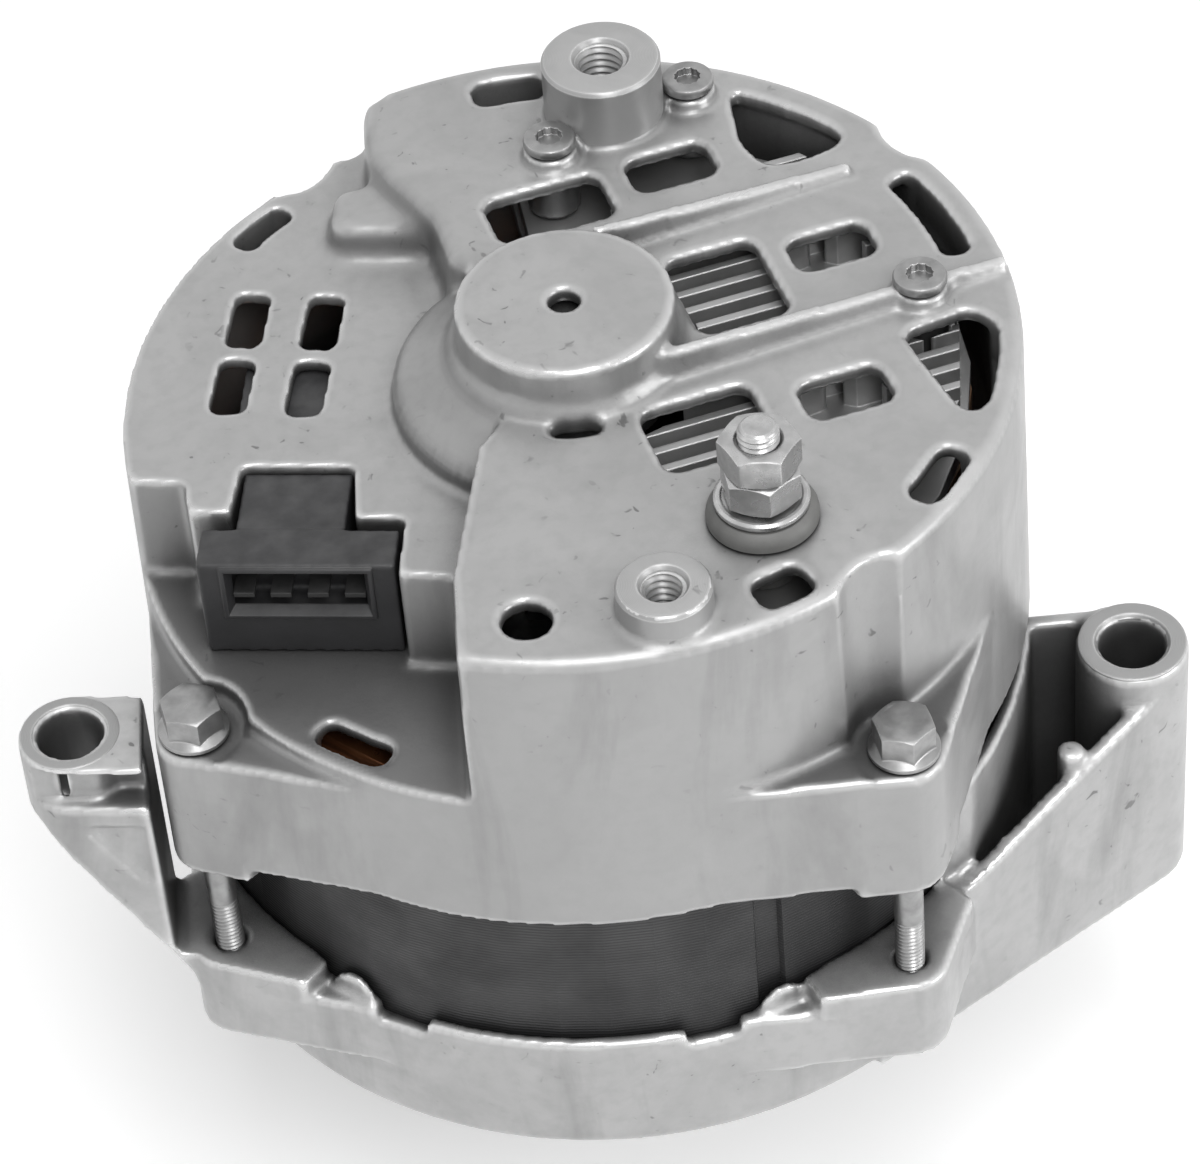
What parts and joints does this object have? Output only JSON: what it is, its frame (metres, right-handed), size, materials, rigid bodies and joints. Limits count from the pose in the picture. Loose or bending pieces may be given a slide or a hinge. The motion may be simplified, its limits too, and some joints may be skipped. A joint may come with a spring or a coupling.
{
  "type": "vehicle alternator",
  "caption": "Belt-driven alternator with vented cast end frames, a mounting foot and ear, a plug-in regulator, a battery stud, and a claw-pole rotor inside.",
  "frame": {"origin": "centre of the drive end face of the rotor shaft", "axes": "+Z runs along the rotor axis towards the slip-ring end, +X points towards the mounting foot, and -Y is the side that the connector faces"},
  "size_m": [0.1742, 0.1334, 0.1704],
  "materials": {
    "bearing_steel": "ground",
    "black_plastic": "black moulded",
    "brown_insulation": "brown moulded insulation",
    "carbon": "pressed carbon",
    "cast_aluminium": "as die-cast, dull light grey",
    "copper": "copper, varnished",
    "lamination_steel": "dark varnished laminations",
    "painted_steel": "black painted sheet",
    "pole_steel": "forged, dark",
    "zinc_steel": "zinc plated"
  },
  "bodies": {
    "housing": {"battery_cable_nut": "zinc_steel", "battery_stud": "zinc_steel", "battery_stud_insulator": "black_plastic", "battery_stud_nut": "zinc_steel", "battery_terminal_washer": "zinc_steel", "bearing_retainer_plate": "zinc_steel", "brush_holder": "black_plastic", "connector_blade_1": "copper", "connector_blade_2": "copper", "connector_blade_3": "copper", "connector_blade_4": "copper", "drive_end_frame": "cast_aluminium", "front_bearing_outer_race": "bearing_steel", "lower_brush_spring": "zinc_steel", "negative_diode_1": "zinc_steel", "negative_diode_2": "zinc_steel", "negative_diode_3": "zinc_steel", "negative_heat_sink": "cast_aluminium", "positive_diode_1": "zinc_steel", "positive_diode_2": "zinc_steel", "positive_diode_3": "zinc_steel", "positive_heat_sink": "cast_aluminium", "rear_bearing_cup": "bearing_steel", "rectifier_insulator": "brown_insulation", "rectifier_screw_1": "zinc_steel", "rectifier_screw_2": "zinc_steel", "rectifier_screw_3": "zinc_steel", "retainer_screw_1": "zinc_steel", "retainer_screw_2": "zinc_steel", "retainer_screw_3": "zinc_steel", "slip_ring_end_frame": "cast_aluminium", "stator_core": "lamination_steel", "stator_winding": "copper", "suppression_capacitor": "painted_steel", "through_bolt_1": "zinc_steel", "through_bolt_2": "zinc_steel", "through_bolt_3": "zinc_steel", "through_bolt_4": "zinc_steel", "upper_brush_spring": "zinc_steel", "voltage_regulator": "black_plastic"},
    "rotor": {"rotor_shaft": "bearing_steel", "front_pole_half": "pole_steel", "rear_pole_half": "pole_steel", "field_coil": "copper", "lower_slip_ring": "copper", "upper_slip_ring": "copper", "slip_ring_sleeve": "brown_insulation", "slip_ring_end_fan": "painted_steel", "drive_end_fan": "painted_steel", "drive_pulley": "zinc_steel", "pulley_lock_washer": "zinc_steel", "pulley_nut": "zinc_steel", "fan_spacer": "zinc_steel", "front_bearing_inner_race": "bearing_steel"},
    "front_ball_set": {"front_bearing_ball_cage": "bearing_steel"},
    "rear_roller_set": {"rear_bearing_roller_cage": "bearing_steel"},
    "lower_brush_slider": {"lower_brush": "carbon"},
    "upper_brush_slider": {"upper_brush": "carbon"}
  },
  "joints": [
    {"name": "rotor_spin", "type": "hinge", "parent": "housing", "child": "rotor", "pos_m": [0, 0, 0], "axis": [0, 0, 1], "continuous": true},
    {"name": "front_cage_spin", "type": "hinge", "parent": "housing", "child": "front_ball_set", "pos_m": [0, 0, 0.05856], "axis": [0, 0, 1], "continuous": true},
    {"name": "rear_cage_spin", "type": "hinge", "parent": "housing", "child": "rear_roller_set", "pos_m": [0, 0, 0.15111], "axis": [0, 0, 1], "continuous": true},
    {"name": "lower_brush_slide", "type": "slide", "parent": "housing", "child": "lower_brush_slider", "axis": [-0.9912, 0.1323, 0], "range_m": [0, 0.004], "stiffness_N_per_m": 150, "springref_m": -0.008, "deforming": ["lower_brush_spring"]},
    {"name": "upper_brush_slide", "type": "slide", "parent": "housing", "child": "upper_brush_slider", "axis": [-0.9912, 0.1323, 0], "range_m": [0, 0.004], "stiffness_N_per_m": 150, "springref_m": -0.008, "deforming": ["upper_brush_spring"]}
  ],
  "couplings": [
    {"joint": "front_cage_spin", "follows": "rotor_spin", "ratio": 0.3688},
    {"joint": "rear_cage_spin", "follows": "rotor_spin", "ratio": 0.4062}
  ]
}
